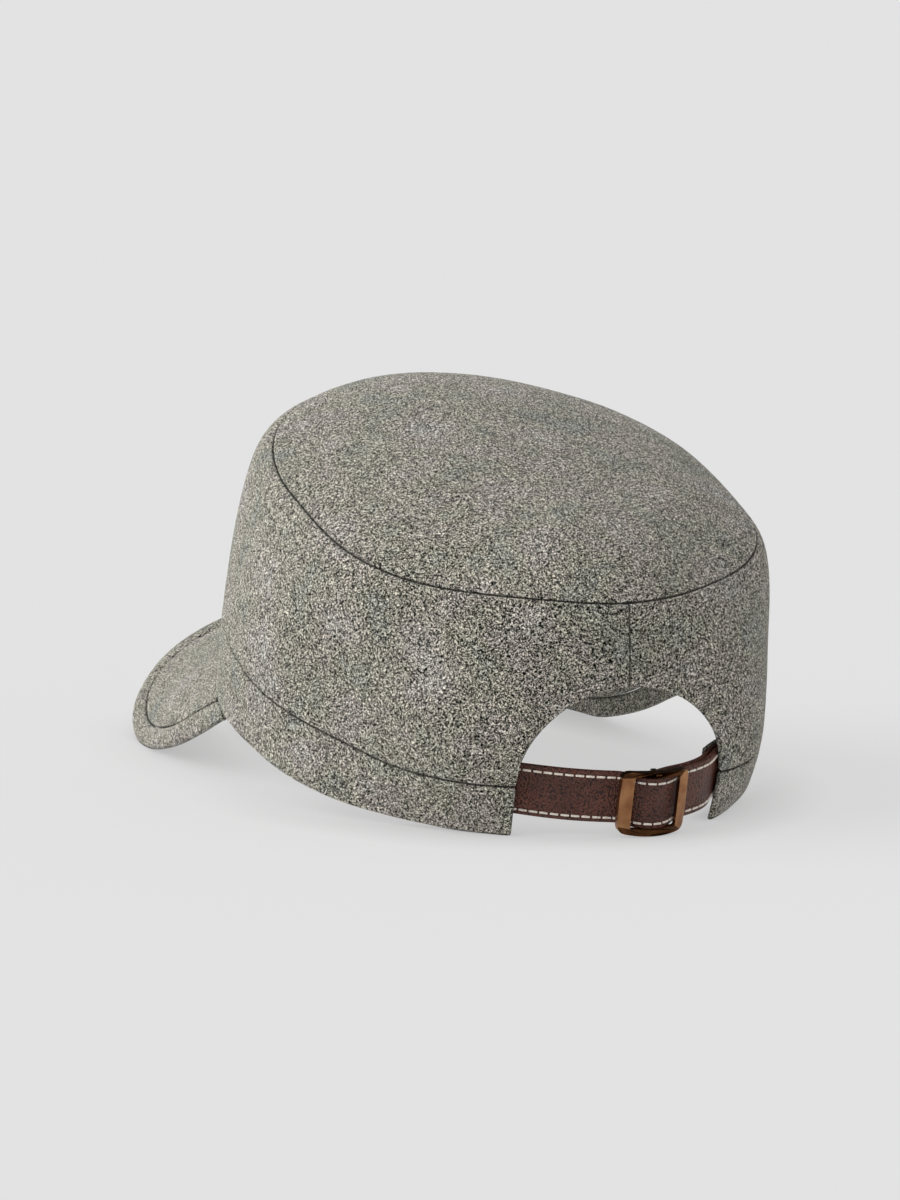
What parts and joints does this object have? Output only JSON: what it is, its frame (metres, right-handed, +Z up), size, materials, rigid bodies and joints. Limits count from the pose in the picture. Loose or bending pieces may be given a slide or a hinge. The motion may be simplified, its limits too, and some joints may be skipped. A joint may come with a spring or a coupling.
{
  "type": "field cap",
  "caption": "Wool field cap with a flat round crown, a short curved peak and an arched back opening closed by a leather strap with a bronze slider.",
  "frame": {"origin": "on the surface the cap rests on, under the middle of its bounding box", "axes": "+Z up, -Y to the front of the cap where its peak points, +X to the wearer's left; the cap stands as it rests, leaning back 14 degrees"},
  "size_m": [0.1726, 0.2732, 0.1257],
  "materials": {
    "wool": "felted grey melange wool",
    "inner_wool": "plain grey wool",
    "leather": "dark brown, grained",
    "bronze": "satin antique bronze"
  },
  "bodies": {
    "root": {"crown_top": "wool", "crown_side": "wool", "lower_band": "wool", "sweatband": "inner_wool", "peak": "wool", "peak_border": "wool", "strap_long": "leather", "strap_short": "leather", "slider": "bronze"}
  },
  "joints": []
}
